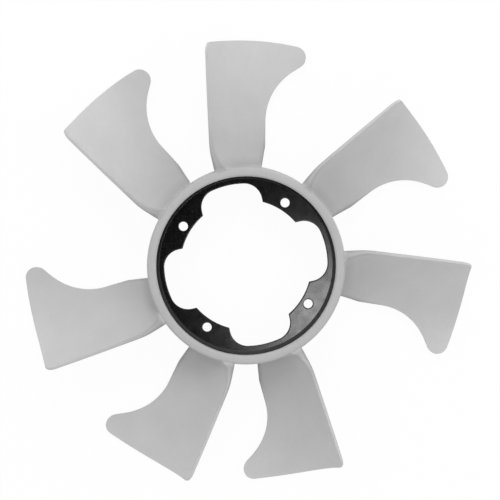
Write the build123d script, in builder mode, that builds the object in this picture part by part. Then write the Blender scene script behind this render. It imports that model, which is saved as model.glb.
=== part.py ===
from build123d import *
from math import cos, radians, sin, sqrt, tan
import os

# Engine cooling fan: seven blades and a ring moulded in one piece round a pressed steel insert.
# Sizes are in millimetres and degrees. The fan turns about Z, and z = 0 is the front face of the
# insert's lands, where the fan clutch is bolted on.

# Pressed steel insert
steel = 2.5
dish_inset = 8.5
dish_corner = 2.7
flange_inset = 3.3
flange_front_z = 9.6
flange_bend = 1.8
land_edge = 7.9
lobe_inset = 16.1
lobe_width = 58.8
lobe_corner = 17.3
lobe_count = 4
lobe_angle = 13.1
bolt_circle_diameter = 141.6
bolt_hole_diameter = 8.8
bolt_count = 4
bolt_angle = 58.1
anchor_width = 6.0
anchor_depth = 1.6
anchor_count = 8

# Moulded ring
ring_radius = 94.7
ring_front_z = 14.2
ring_height = 38.0
ring_wall = 4.2
ring_crown = 0.8
ring_front_round = 1.4
ring_rear_round = 1.2
lip_width = 8.7
lip_edge_z = 6.9
lip_round = 1.2
collar_width = 11.2
collar_cover = 3.0
collar_round = 2.5

# A blade is a piece of a tube's wall. The tube's axis passes over the blade's far side and
# comes down as it runs outward, and the wall thins toward the tip
tube_radius = 73.1
tube_start_inset = 14.7
tube_start_side = -34.5
tube_start_z = 58.8
tube_end_beyond = 9.8
tube_end_side = -44.8
tube_end_z = 43.4
tube_far_side = 45.0
tube_near_side = 85.0
wall_at_start = 4.0
wall_at_end = 2.4

# Beside the ring the wall thickens on its front: distance along the tube and thickness added
root_flare = [(0.0, 20.0), (11.0, 9.0), (18.0, 4.2), (26.0, 1.3), (35.0, 0.0)]
flare_slope = 35.0

# Near edge of a blade: distance outside the ring, and degrees round the tube from its lowest line
near_root_outside = -10.7
near_root_turn = 50.0
near_kink_outside = 18.3
near_kink_turn = 60.1
near_tip_turn = 71.4
near_kink_round = 40.0
tip_radius = 215.2
tip_corner = 11.0
tip_clearance = 0.15
tip_lean = 1.8
root_depth = 2.0

# Far edge and toe of a blade, as seen from the front: distance outside the ring or inside the
# tip circle, and how far to the side
far_root_outside = -8.7
far_root_side = -19.0
far_kink_outside = 18.3
far_kink_side = -25.4
waist_inside = 47.4
waist_side = -29.0
toe_inside = 12.0
toe_side = -95.4
kink_round = 18.0
waist_round = 56.5
toe_round = 10.8

# The blades are spaced unevenly, which keeps the fan from humming at one pitch
blade_angles = [354.0, 41.1, 93.4, 136.8, 200.8, 248.4, 289.25]

# What follows from the sizes above
dish_radius = ring_radius - dish_inset
flange_radius = ring_radius - flange_inset
lobe_radius = ring_radius - lobe_inset
land_radius = bolt_circle_diameter / 2 - land_edge
lip_radius = ring_radius - lip_width
collar_radius = ring_radius - collar_width
ring_edge_z = ring_front_z - ring_crown
ring_rear_z = ring_front_z - ring_height
collar_z = -steel - collar_cover
tube_start = Vector(ring_radius - tube_start_inset, tube_start_side, tube_start_z)
tube_end = Vector(tip_radius + tube_end_beyond, tube_end_side, tube_end_z)
blade_reach = 2 * tip_radius


def lobed_opening():
    """Opening of the insert: a round hole with four wide lobes between its lands"""
    with BuildSketch() as lobe_pair:
        Rectangle(blade_reach, lobe_width)
        Circle(lobe_radius, mode=Mode.INTERSECT)
        fillet(lobe_pair.vertices(), lobe_corner)
    with BuildSketch() as opening:
        Circle(land_radius)
        with PolarLocations(0, lobe_count // 2, lobe_angle, 180):
            add(lobe_pair.sketch)
    return opening.sketch


# Steel insert: a flat plate, its dished wall and the flange that the moulding grips
with BuildPart() as steel_insert:
    with BuildSketch(Plane.XZ):
        with BuildLine():
            Polyline(
                (0, 0),
                (dish_radius - dish_corner, 0),
                (dish_radius, dish_corner),
                (dish_radius, flange_front_z - flange_bend),
                (dish_radius + flange_bend, flange_front_z),
                (flange_radius, flange_front_z),
            )
            offset(amount=steel, side=Side.RIGHT, kind=Kind.INTERSECTION, closed=True)
        make_face()
    revolve(axis=Axis.Z)
    with BuildSketch(Plane.XY.offset(-steel)):
        add(lobed_opening())
        with PolarLocations(bolt_circle_diameter / 2, bolt_count, bolt_angle):
            Circle(bolt_hole_diameter / 2)
    extrude(amount=2 * steel, mode=Mode.SUBTRACT)
    with BuildSketch(Plane.XY.offset(flange_front_z - 2 * steel)):
        with PolarLocations(flange_radius, anchor_count):
            Rectangle(2 * anchor_depth, anchor_width)
    extrude(amount=3 * steel, mode=Mode.SUBTRACT)

# Ring of the moulding: a crowned front that grips the insert, with a plain wall behind it
with BuildPart() as ring:
    with BuildSketch(Plane.XZ) as ring_section:
        with BuildLine():
            crown = ThreePointArc(
                (ring_radius, ring_edge_z),
                ((ring_radius + lip_radius) / 2, ring_front_z),
                (lip_radius, ring_edge_z),
            )
            Polyline(
                crown @ 1,
                (lip_radius, lip_edge_z),
                (dish_radius + steel / 2, lip_edge_z),
                (dish_radius + steel / 2, -steel / 2),
                (collar_radius, -steel / 2),
                (collar_radius, collar_z),
                (ring_radius - ring_wall, collar_z - collar_cover),
                (ring_radius - ring_wall, ring_rear_z),
                (ring_radius, ring_rear_z),
                crown @ 0,
            )
        make_face()
        corners = ring_section.vertices()
        chamfer(corners.sort_by_distance(crown @ 0)[0], ring_front_round)
        chamfer(corners.sort_by_distance(crown @ 1)[0], lip_round)
        chamfer(corners.sort_by_distance((ring_radius, ring_rear_z))[0:2], ring_rear_round)
        chamfer(corners.sort_by_distance((collar_radius, collar_z))[0], collar_round)
    revolve(axis=Axis.Z)


def wall_point(distance, turn):
    """Point midway through the wall, this far from the fan's axis and turned round the tube"""
    centre = tube_start + (tube_end - tube_start) * (
        (distance - tube_start.X) / (tube_end.X - tube_start.X)
    )
    side = tube_radius * sin(radians(turn))
    drop = tube_radius * cos(radians(turn))
    return centre + Vector(0, side, -drop)


# Plan of a blade: its root on the ring, its straight tapering far edge, the waist and the toe
far_root = (ring_radius + far_root_outside, far_root_side)
far_kink = (ring_radius + far_kink_outside, far_kink_side)
waist = (tip_radius - waist_inside, waist_side)
toe = (tip_radius - toe_inside, toe_side)
with BuildSketch() as blade_plan:
    with BuildLine():
        Polyline(
            far_root,
            far_kink,
            waist,
            toe,
            (blade_reach, toe_side),
            (blade_reach, blade_reach),
            (far_root[0], blade_reach),
            close=True,
        )
    make_face()
    Circle(tip_radius, mode=Mode.INTERSECT)
    fillet(blade_plan.vertices().sort_by(Axis.Y)[0], toe_round)
    fillet(blade_plan.vertices().sort_by_distance(waist)[0], waist_round)
    fillet(blade_plan.vertices().sort_by_distance(far_kink)[0], kink_round)
    Circle(ring_radius - root_depth, mode=Mode.SUBTRACT)

# The tube's own frame: X runs along its axis, and the wall's far side is below it
tube_run = tube_end - tube_start
tube_frame = Plane(origin=tube_start, x_dir=tube_run, z_dir=tube_run.cross(Vector(0, 0, 1)))

# Line of the near edge, drawn on a plane that lies square to the wall halfway along it
near_tip_side = wall_point(tip_radius, near_tip_turn).Y
near_tip_out = sqrt(tip_radius**2 - near_tip_side**2)
near_points = [
    wall_point(ring_radius + near_root_outside, near_root_turn),
    wall_point(ring_radius + near_kink_outside, near_kink_turn),
    wall_point(near_tip_out, near_tip_turn),
]
near_middle = (near_points[1] + near_points[2]) / 2
middle_turn = radians((near_kink_turn + near_tip_turn) / 2)
near_plane = Plane(
    origin=near_middle,
    x_dir=(1, 0, 0),
    z_dir=(0, -sin(middle_turn), cos(middle_turn)),
)
near_line = [near_plane.to_local_coords(point) for point in near_points]
tip_slant = tip_lean * near_tip_side / near_tip_out * near_plane.z_dir.Z
with BuildSketch() as near_side:
    with BuildLine():
        Polyline(
            (near_line[0].X, near_line[0].Y),
            (near_line[1].X, near_line[1].Y),
            (near_line[2].X + tip_clearance, near_line[2].Y),
            (near_line[2].X + tip_clearance + tip_slant * blade_reach, near_line[2].Y - blade_reach),
            (near_line[0].X, near_line[2].Y - blade_reach),
            close=True,
        )
    make_face()
    fillet(near_side.vertices().sort_by_distance(near_line[2])[0], tip_corner)
    fillet(near_side.vertices().sort_by_distance(near_line[1])[0], near_kink_round)


def wall_front(distance):
    """Height of the wall's front in its section, this far along the tube"""
    share = distance / tube_run.length
    return -tube_radius + (wall_at_start + (wall_at_end - wall_at_start) * share) / 2


# The tube's wall, turned about the tube's axis: it thins toward the tip and flares at the root
with BuildPart() as wall:
    with BuildSketch():
        with BuildLine():
            Polyline(
                *[(along, wall_front(along) + added) for along, added in root_flare],
                (tube_run.length, wall_front(tube_run.length)),
                (tube_run.length, wall_front(tube_run.length) - wall_at_end),
                (0, wall_front(0) - wall_at_start),
                close=True,
            )
        make_face()
    revolve(axis=Axis.X, revolution_arc=tube_far_side + tube_near_side)

# The room above the root: the flare is cut off along a slope that starts at the ring's front edge
slope_start = ring_radius - ring_front_round
with BuildPart() as above_root:
    with BuildSketch(Plane.XZ):
        with BuildLine():
            Polyline(
                (slope_start, ring_edge_z),
                (slope_start + tip_radius, ring_edge_z + tip_radius * tan(radians(flare_slope))),
                (slope_start - root_depth, ring_edge_z + tip_radius),
                (slope_start - root_depth, ring_edge_z),
                close=True,
            )
        make_face()
    revolve(axis=Axis.Z)

# One blade: a piece of the wall, trimmed to its plan and along its near edge
with BuildPart() as blade:
    add(tube_frame.location * wall.part.rotate(Axis.X, -tube_far_side))
    add(blade_plan.sketch)
    extrude(amount=blade_reach, both=True, mode=Mode.INTERSECT)
    with BuildSketch(near_plane):
        add(near_side.sketch)
    extrude(amount=blade_reach, both=True, mode=Mode.INTERSECT)
    add(above_root.part, mode=Mode.SUBTRACT)

# Moulding: the ring with its blades, less the room that the insert takes
with BuildPart() as fan_moulding:
    add(ring.part)
    for angle in blade_angles:
        add(blade.part.rotate(Axis.Z, angle))
    add(steel_insert.part, mode=Mode.SUBTRACT)

steel_insert.part.label = "steel_insert"
fan_moulding.part.label = "fan_moulding"

os.makedirs("parts", exist_ok=True)
export_step(steel_insert.part, "parts/steel_insert.step")
export_step(fan_moulding.part, "parts/fan_moulding.step")
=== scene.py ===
"""Looks, light and camera for an engine cooling fan: a grey moulding on a black steel insert."""

import math

import bpy
from mathutils import Matrix, Vector


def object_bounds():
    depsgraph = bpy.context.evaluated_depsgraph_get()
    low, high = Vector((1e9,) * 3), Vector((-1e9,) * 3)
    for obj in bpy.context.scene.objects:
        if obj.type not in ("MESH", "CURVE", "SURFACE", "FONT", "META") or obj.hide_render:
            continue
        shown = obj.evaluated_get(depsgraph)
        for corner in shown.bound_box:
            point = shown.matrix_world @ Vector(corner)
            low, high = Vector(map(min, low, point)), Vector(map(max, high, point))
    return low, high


MM = 0.001

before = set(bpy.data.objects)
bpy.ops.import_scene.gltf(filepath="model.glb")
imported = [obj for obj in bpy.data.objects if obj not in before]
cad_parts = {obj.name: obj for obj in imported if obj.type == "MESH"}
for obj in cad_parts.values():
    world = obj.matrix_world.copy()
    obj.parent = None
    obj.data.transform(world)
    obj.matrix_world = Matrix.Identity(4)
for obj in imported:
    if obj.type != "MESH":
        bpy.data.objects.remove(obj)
cad_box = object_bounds()
fan_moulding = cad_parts["fan_moulding"]
steel_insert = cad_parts["steel_insert"]


def linear(hex_colour):
    """sRGB hex colour as the linear colour that a shader takes"""
    parts = [int(hex_colour[i:i + 2], 16) / 255 for i in (1, 3, 5)]
    return [p / 12.92 if p <= 0.04045 else ((p + 0.055) / 1.055) ** 2.4 for p in parts] + [1.0]


def per_metre(size_mm):
    """Texture scale whose pattern repeats about every size_mm"""
    return 1 / (size_mm * MM)


def add_node(tree, kind, settings=None, **links):
    """Adds a node, sets its properties and sockets, and links other nodes' outputs to its sockets"""
    node = tree.nodes.new(kind)
    for name, value in (settings or {}).items():
        if name in node.inputs:
            node.inputs[name].default_value = value
        else:
            setattr(node, name, value)
    for name, output in links.items():
        tree.links.new(output, node.inputs[name.replace("_", " ")])
    return node


def new_material(name):
    """Empty node material and the output that its shader goes to"""
    material = bpy.data.materials.new(name)
    material.use_nodes = True
    material.node_tree.nodes.clear()
    output = add_node(material.node_tree, "ShaderNodeOutputMaterial")
    return material, material.node_tree, output


def distance_from_axis(tree, place):
    """How far a point of the surface lies from the fan's axis, in metres"""
    flat = add_node(tree, "ShaderNodeVectorMath", {"operation": "MULTIPLY"})
    tree.links.new(place.outputs["Object"], flat.inputs[0])
    flat.inputs[1].default_value = (1, 1, 0)
    radius = add_node(tree, "ShaderNodeVectorMath", {"operation": "LENGTH"})
    tree.links.new(flat.outputs["Vector"], radius.inputs[0])
    return radius.outputs["Value"]


def moulded_nylon():
    """Glass-filled nylon as it leaves the mould: satin grey, with a faint speckle where the glass
    fibres lie under the skin and faint cloudy patches where the melt flowed. Its tone by distance
    from the axis holds painted light and shade: painted shade darkens the crease beside the ring,
    and painted light lifts the tone from the thick roots to the thin tips, standing in for the light
    that thin nylon lets through. Corners are soft: widest at the roots, narrow on the blades"""
    speckle_mm = 1.5  # real fibres are 0.3 mm long; drawn coarser so that they show
    cloud_mm = 28.0
    mottle = 0.045  # how far the speckle and the clouds together lighten or darken the tone
    grain_mm = 0.9
    grain_depth_mm = 0.04
    root_mm = 95.0  # distances from the fan's axis
    tip_mm = 215.0
    # Painted light and shade by distance from the axis: a darker tone just outside the ring is
    # painted shade in the crease, and the lighter tones out to the tips are painted light
    ring_tone = "#b1b1b1"
    blade_painted_shade_and_light_tones = [(0.02, "#a6a6a6"), (0.09, "#b1b1b1"), (0.375, "#b9b9b9")]  # share of the way out
    tip_painted_light_tone = "#c1c1c1"
    root_corner_mm = 8.0
    ring_corner_share = 0.3
    blade_corner_share = 0.12
    root_starts, root_ends, blade_starts = 0.04, 0.15, 0.4  # shares of the way out, as above
    material, tree, output = new_material("glass_filled_nylon")
    place = add_node(tree, "ShaderNodeTexCoord")
    outward = add_node(
        tree,
        "ShaderNodeMapRange",
        {"From Min": root_mm * MM, "From Max": tip_mm * MM},
        Value=distance_from_axis(tree, place),
    )
    # Base colour by distance from the axis, with painted shade beside the ring and painted light
    # toward the tips
    tone = add_node(tree, "ShaderNodeValToRGB", Fac=outward.outputs["Result"])
    tone.color_ramp.elements[0].color = linear(ring_tone)
    tone.color_ramp.elements[1].color = linear(tip_painted_light_tone)
    for position, hex_colour in blade_painted_shade_and_light_tones:
        tone.color_ramp.elements.new(position).color = linear(hex_colour)
    speckle = add_node(
        tree,
        "ShaderNodeTexNoise",
        {"Scale": per_metre(speckle_mm), "Detail": 3.0, "Roughness": 0.7},
        Vector=place.outputs["Object"],
    )
    cloud = add_node(
        tree,
        "ShaderNodeTexNoise",
        {"Scale": per_metre(cloud_mm), "Detail": 4.0, "Roughness": 0.55},
        Vector=place.outputs["Object"],
    )
    pattern = add_node(tree, "ShaderNodeMath", {"operation": "ADD"})
    tree.links.new(speckle.outputs["Fac"], pattern.inputs[0])
    tree.links.new(cloud.outputs["Fac"], pattern.inputs[1])
    shade = add_node(
        tree,
        "ShaderNodeMapRange",
        {"From Min": 0.7, "From Max": 1.3, "To Min": 1 - mottle, "To Max": 1 + mottle},
        Value=pattern.outputs["Value"],
    )
    colour = add_node(tree, "ShaderNodeVectorMath", {"operation": "SCALE"})
    tree.links.new(tone.outputs["Color"], colour.inputs[0])
    tree.links.new(shade.outputs["Result"], colour.inputs["Scale"])
    grain = add_node(
        tree,
        "ShaderNodeTexNoise",
        {"Scale": per_metre(grain_mm), "Detail": 2.0},
        Vector=place.outputs["Object"],
    )
    corner_share = add_node(tree, "ShaderNodeValToRGB", Fac=outward.outputs["Result"])
    corner_share.color_ramp.elements[0].color = [ring_corner_share] * 3 + [1.0]
    corner_share.color_ramp.elements[1].position = blade_starts
    corner_share.color_ramp.elements[1].color = [blade_corner_share] * 3 + [1.0]
    for position in (root_starts, root_ends):
        corner_share.color_ramp.elements.new(position).color = linear("#ffffff")
    corner_size = add_node(tree, "ShaderNodeMath", {"operation": "MULTIPLY"})
    tree.links.new(corner_share.outputs["Color"], corner_size.inputs[0])
    corner_size.inputs[1].default_value = root_corner_mm * MM
    corners = add_node(
        tree, "ShaderNodeBevel", {"samples": 12}, Radius=corner_size.outputs["Value"]
    )
    bump = add_node(
        tree,
        "ShaderNodeBump",
        {"Strength": 0.2, "Distance": grain_depth_mm * MM},
        Height=grain.outputs["Fac"],
        Normal=corners.outputs["Normal"],
    )
    roughness = add_node(
        tree,
        "ShaderNodeMapRange",
        {"To Min": 0.52, "To Max": 0.62},
        Value=cloud.outputs["Fac"],
    )
    shader = add_node(
        tree,
        "ShaderNodeBsdfPrincipled",
        {"IOR": 1.53, "Specular IOR Level": 0.4},
        Base_Color=colour.outputs["Vector"],
        Roughness=roughness.outputs["Result"],
        Normal=bump.outputs["Normal"],
    )
    tree.links.new(shader.outputs["BSDF"], output.inputs["Surface"])
    return material


def black_paint():
    """Black dipped paint on pressed steel: semi-gloss, with the slight waviness of a dipped coat
    and of the sheet under it, so that reflections spread unevenly over the lands. It has specks
    of dust, and the punch has rounded the edge along the opening"""
    peel_mm = 2.2
    peel_depth_mm = 0.03
    sheet_mm = 9.0
    punched_edge_mm = 1.5
    opening_mm = 80.0  # distances from the fan's axis, out to the opening's lobes and the dish
    dish_mm = 82.0
    material, tree, output = new_material("black_painted_steel")
    place = add_node(tree, "ShaderNodeTexCoord")
    peel = add_node(
        tree,
        "ShaderNodeTexNoise",
        {"Scale": per_metre(peel_mm), "Detail": 2.0},
        Vector=place.outputs["Object"],
    )
    sheet = add_node(
        tree,
        "ShaderNodeTexNoise",
        {"Scale": per_metre(sheet_mm), "Detail": 3.0},
        Vector=place.outputs["Object"],
    )
    dust = add_node(tree, "ShaderNodeValToRGB", Fac=peel.outputs["Fac"])
    dust.color_ramp.elements[0].position = 0.5
    dust.color_ramp.elements[0].color = linear("#000000")
    dust.color_ramp.elements[1].position = 0.7
    dust.color_ramp.elements[1].color = linear("#1a1a1a")
    roughness = add_node(
        tree,
        "ShaderNodeMapRange",
        {"To Min": 0.12, "To Max": 0.22},
        Value=sheet.outputs["Fac"],
    )
    corner_size = add_node(
        tree,
        "ShaderNodeMapRange",
        {
            "From Min": opening_mm * MM,
            "From Max": dish_mm * MM,
            "To Min": punched_edge_mm * MM,
            "To Max": 0.0,
        },
        Value=distance_from_axis(tree, place),
    )
    corners = add_node(
        tree, "ShaderNodeBevel", {"samples": 12}, Radius=corner_size.outputs["Result"]
    )
    bump = add_node(
        tree,
        "ShaderNodeBump",
        {"Strength": 0.2, "Distance": peel_depth_mm * MM},
        Height=peel.outputs["Fac"],
        Normal=corners.outputs["Normal"],
    )
    shader = add_node(
        tree,
        "ShaderNodeBsdfPrincipled",
        {"IOR": 1.52},
        Base_Color=dust.outputs["Color"],
        Roughness=roughness.outputs["Result"],
        Normal=bump.outputs["Normal"],
    )
    tree.links.new(shader.outputs["BSDF"], output.inputs["Surface"])
    return material


def seen_directly(tree):
    """1 where the camera looks at this surface, straight or by a reflection or through glass"""
    path = add_node(tree, "ShaderNodeLightPath")
    mirrored = add_node(tree, "ShaderNodeMath", {"operation": "MAXIMUM"})
    tree.links.new(path.outputs["Is Camera Ray"], mirrored.inputs[0])
    tree.links.new(path.outputs["Is Glossy Ray"], mirrored.inputs[1])
    seen = add_node(tree, "ShaderNodeMath", {"operation": "MAXIMUM"})
    tree.links.new(mirrored.outputs["Value"], seen.inputs[0])
    tree.links.new(path.outputs["Is Transmission Ray"], seen.inputs[1])
    return seen.outputs["Value"]


def white_laminate():
    """White laminate: it keeps a light part of the fan's shadow and is white beside it"""
    shadow_share = 0.05
    material, tree, output = new_material("white_laminate")
    matt = add_node(tree, "ShaderNodeBsdfDiffuse", {"Color": linear("#f4f4f4")})
    white = add_node(tree, "ShaderNodeEmission", {"Color": linear("#ffffff"), "Strength": 1.0})
    share = add_node(tree, "ShaderNodeMath", {"operation": "MULTIPLY"})
    tree.links.new(seen_directly(tree), share.inputs[0])
    share.inputs[1].default_value = 1 - shadow_share
    mix = add_node(tree, "ShaderNodeMixShader", Fac=share.outputs["Value"])
    tree.links.new(matt.outputs["BSDF"], mix.inputs[1])
    tree.links.new(white.outputs["Emission"], mix.inputs[2])
    tree.links.new(mix.outputs["Shader"], output.inputs["Surface"])
    return material


def dress(node, material, edge_round_mm):
    """Gives a solid its material, and takes the sharpness off its edges as a mould or press does"""
    node.data.materials.clear()
    node.data.materials.append(material)
    weld = node.modifiers.new("joined_faces", "WELD")
    weld.merge_threshold = 0.005 * MM
    rounding = node.modifiers.new("rounded_edges", "BEVEL")
    rounding.width = edge_round_mm * MM
    rounding.segments = 4
    rounding.limit_method = "ANGLE"
    rounding.angle_limit = math.radians(30)
    rounding.use_clamp_overlap = True
    normals = node.modifiers.new("smooth_faces", "WEIGHTED_NORMAL")
    normals.weight = 100
    for face in node.data.polygons:
        face.use_smooth = True


dress(fan_moulding, moulded_nylon(), edge_round_mm=0.3)
dress(steel_insert, black_paint(), edge_round_mm=0.2)

# Table under the fan's seven toes
table_size = 6.0
bpy.ops.mesh.primitive_plane_add(size=table_size, location=(0, 0, cad_box[0].z))
table = bpy.context.object
table.name = "white_table"
table.data.materials.append(white_laminate())

# Studio light: name, place and size in metres, and power in watts. All lamps face the fan's hub
soft_lights = [
    ("top_softbox", (0.0, 1.6, 1.2), 1.0, 11.3),
    ("right_softbox", (1.6, 0.0, 1.2), 1.0, 3.6),
    ("small_softbox_over_lower_right", (0.18, -0.26, 1.6), 0.21, 1.3),
]
for name, place, size, power in soft_lights:
    lamp = bpy.data.lights.new(name, "AREA")
    lamp.shape = "DISK"
    lamp.size = size
    lamp.energy = power
    holder = bpy.data.objects.new(name, lamp)
    holder.location = place
    holder.rotation_euler = (-Vector(place)).to_track_quat("-Z", "Y").to_euler()
    bpy.context.scene.collection.objects.link(holder)

# Room: pale walls all round, white behind the table's edge, and over the camera a dark patch of
# ceiling, which the black paint mirrors. The four heights are those of a direction: 0 is level
# and 1 is straight up
room_light = 0.95
ceiling_light = 0.02
ceiling_from, ceiling_full = 0.86, 0.97
white_up_to, white_gone = 0.3, 0.5
world = bpy.data.worlds.new("pale_room")
world.use_nodes = True
room_tree = world.node_tree
room_tree.nodes.clear()
looking = add_node(room_tree, "ShaderNodeTexCoord")
height = add_node(room_tree, "ShaderNodeSeparateXYZ", Vector=looking.outputs["Generated"])
ceiling = add_node(
    room_tree,
    "ShaderNodeMapRange",
    {
        "From Min": ceiling_from,
        "From Max": ceiling_full,
        "To Min": room_light,
        "To Max": ceiling_light,
    },
    Value=height.outputs["Z"],
)
low_down = add_node(
    room_tree,
    "ShaderNodeMapRange",
    {"From Min": white_up_to, "From Max": white_gone, "To Min": 1.0, "To Max": 0.0},
    Value=height.outputs["Z"],
)
white_share = add_node(room_tree, "ShaderNodeMath", {"operation": "MULTIPLY"})
room_tree.links.new(seen_directly(room_tree), white_share.inputs[0])
room_tree.links.new(low_down.outputs["Result"], white_share.inputs[1])
around = add_node(
    room_tree,
    "ShaderNodeBackground",
    {"Color": linear("#ffffff")},
    Strength=ceiling.outputs["Result"],
)
behind = add_node(
    room_tree, "ShaderNodeBackground", {"Color": linear("#ffffff"), "Strength": 1.0}
)
room = add_node(room_tree, "ShaderNodeMixShader", Fac=white_share.outputs["Value"])
room_tree.links.new(around.outputs["Background"], room.inputs[1])
room_tree.links.new(behind.outputs["Background"], room.inputs[2])
add_node(room_tree, "ShaderNodeOutputWorld", Surface=room.outputs["Shader"])
bpy.context.scene.world = world

# Camera: nearly straight over the hub, leaning a little toward the top of the picture
ring_front_mm = 14.2
hub_front = Vector((0, 0, ring_front_mm * MM))
to_camera = Vector((-0.0138, 0.0974, 0.9952)).normalized()
camera_distance = 1.5254  # metres from the middle of the ring's front
picture_px = 500
focal_px = 1600
hub_from_centre_px = (-3.84, 16.65)  # right and down from the picture's centre
camera = bpy.data.cameras.new("camera")
camera.sensor_width = 36.0
camera.lens = focal_px / picture_px * camera.sensor_width
camera.shift_x = -hub_from_centre_px[0] / picture_px
camera.shift_y = hub_from_centre_px[1] / picture_px
camera_holder = bpy.data.objects.new("camera", camera)
right = (Vector((1, 0, 0)) - to_camera * to_camera.x).normalized()
up = to_camera.cross(right)
turn = Matrix((right, up, to_camera)).transposed().to_4x4()
camera_holder.matrix_world = Matrix.Translation(hub_front + to_camera * camera_distance) @ turn
bpy.context.scene.collection.objects.link(camera_holder)
bpy.context.scene.camera = camera_holder

bpy.context.scene.view_settings.view_transform = "Standard"
